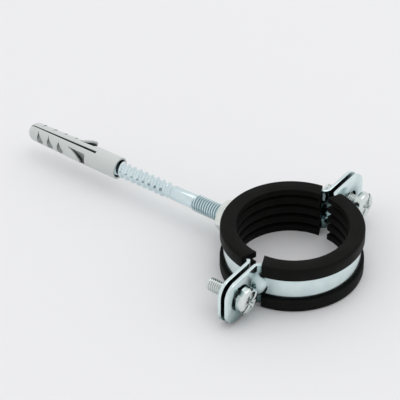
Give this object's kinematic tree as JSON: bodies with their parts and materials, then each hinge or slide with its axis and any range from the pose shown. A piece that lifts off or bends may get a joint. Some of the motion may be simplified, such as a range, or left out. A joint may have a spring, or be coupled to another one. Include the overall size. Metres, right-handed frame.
{
  "type": "rubber lined pipe clamp",
  "caption": "Split steel pipe ring with ribbed rubber lining, ear screws, and a hanger bolt ending in a nylon wall plug.",
  "frame": {"origin": "centre of the pipe bore, half way along it", "axes": "+Z along the pipe, +Y towards the right-hand ears, hanger bolt and wall plug along -X"},
  "size_m": [0.1796, 0.106, 0.0234],
  "materials": {
    "zinc_steel": "satin zinc plate",
    "black_rubber": "matt extruded rubber",
    "zinc_nut": "satin zinc plate",
    "zinc_bolt": "rolled thread, zinc plate",
    "grey_nylon": "moulded nylon",
    "bright_screw": "bright zinc plate"
  },
  "bodies": {
    "rear_half": {"rear_band": "zinc_steel", "rear_liner": "black_rubber", "weld_nut": "zinc_nut"},
    "front_half": {"front_band": "zinc_steel", "front_liner": "black_rubber"},
    "left_screw": {"left_closing_screw": "bright_screw"},
    "right_screw": {"right_closing_screw": "bright_screw"},
    "hanger": {"hanger_bolt": "zinc_bolt"},
    "plug": {"wall_plug": "grey_nylon"}
  },
  "joints": [
    {"name": "front_half_slide", "type": "slide", "parent": "rear_half", "child": "front_half", "axis": [1, 0, 0], "range_m": [-0.0017, 0.008]},
    {"name": "left_screw_turn", "type": "hinge", "parent": "front_half", "child": "left_screw", "pos_m": [0, -0.0425, 0], "axis": [1, 0, 0], "range_deg": [-620, 2890]},
    {"name": "right_screw_turn", "type": "hinge", "parent": "front_half", "child": "right_screw", "pos_m": [0, 0.0425, 0], "axis": [1, 0, 0], "range_deg": [-620, 2890]},
    {"name": "hanger_bolt_turn", "type": "hinge", "parent": "rear_half", "child": "hanger", "pos_m": [-0.05, 0, 0], "axis": [1, 0, 0], "continuous": true},
    {"name": "wall_plug_slide", "type": "slide", "parent": "hanger", "child": "plug", "axis": [-1, 0, 0], "range_m": [0, 0.015]}
  ],
  "couplings": [
    {"joint": "left_screw_turn", "follows": "front_half_slide", "rad_per_m": 6283.2},
    {"joint": "right_screw_turn", "follows": "front_half_slide", "rad_per_m": 6283.2}
  ]
}
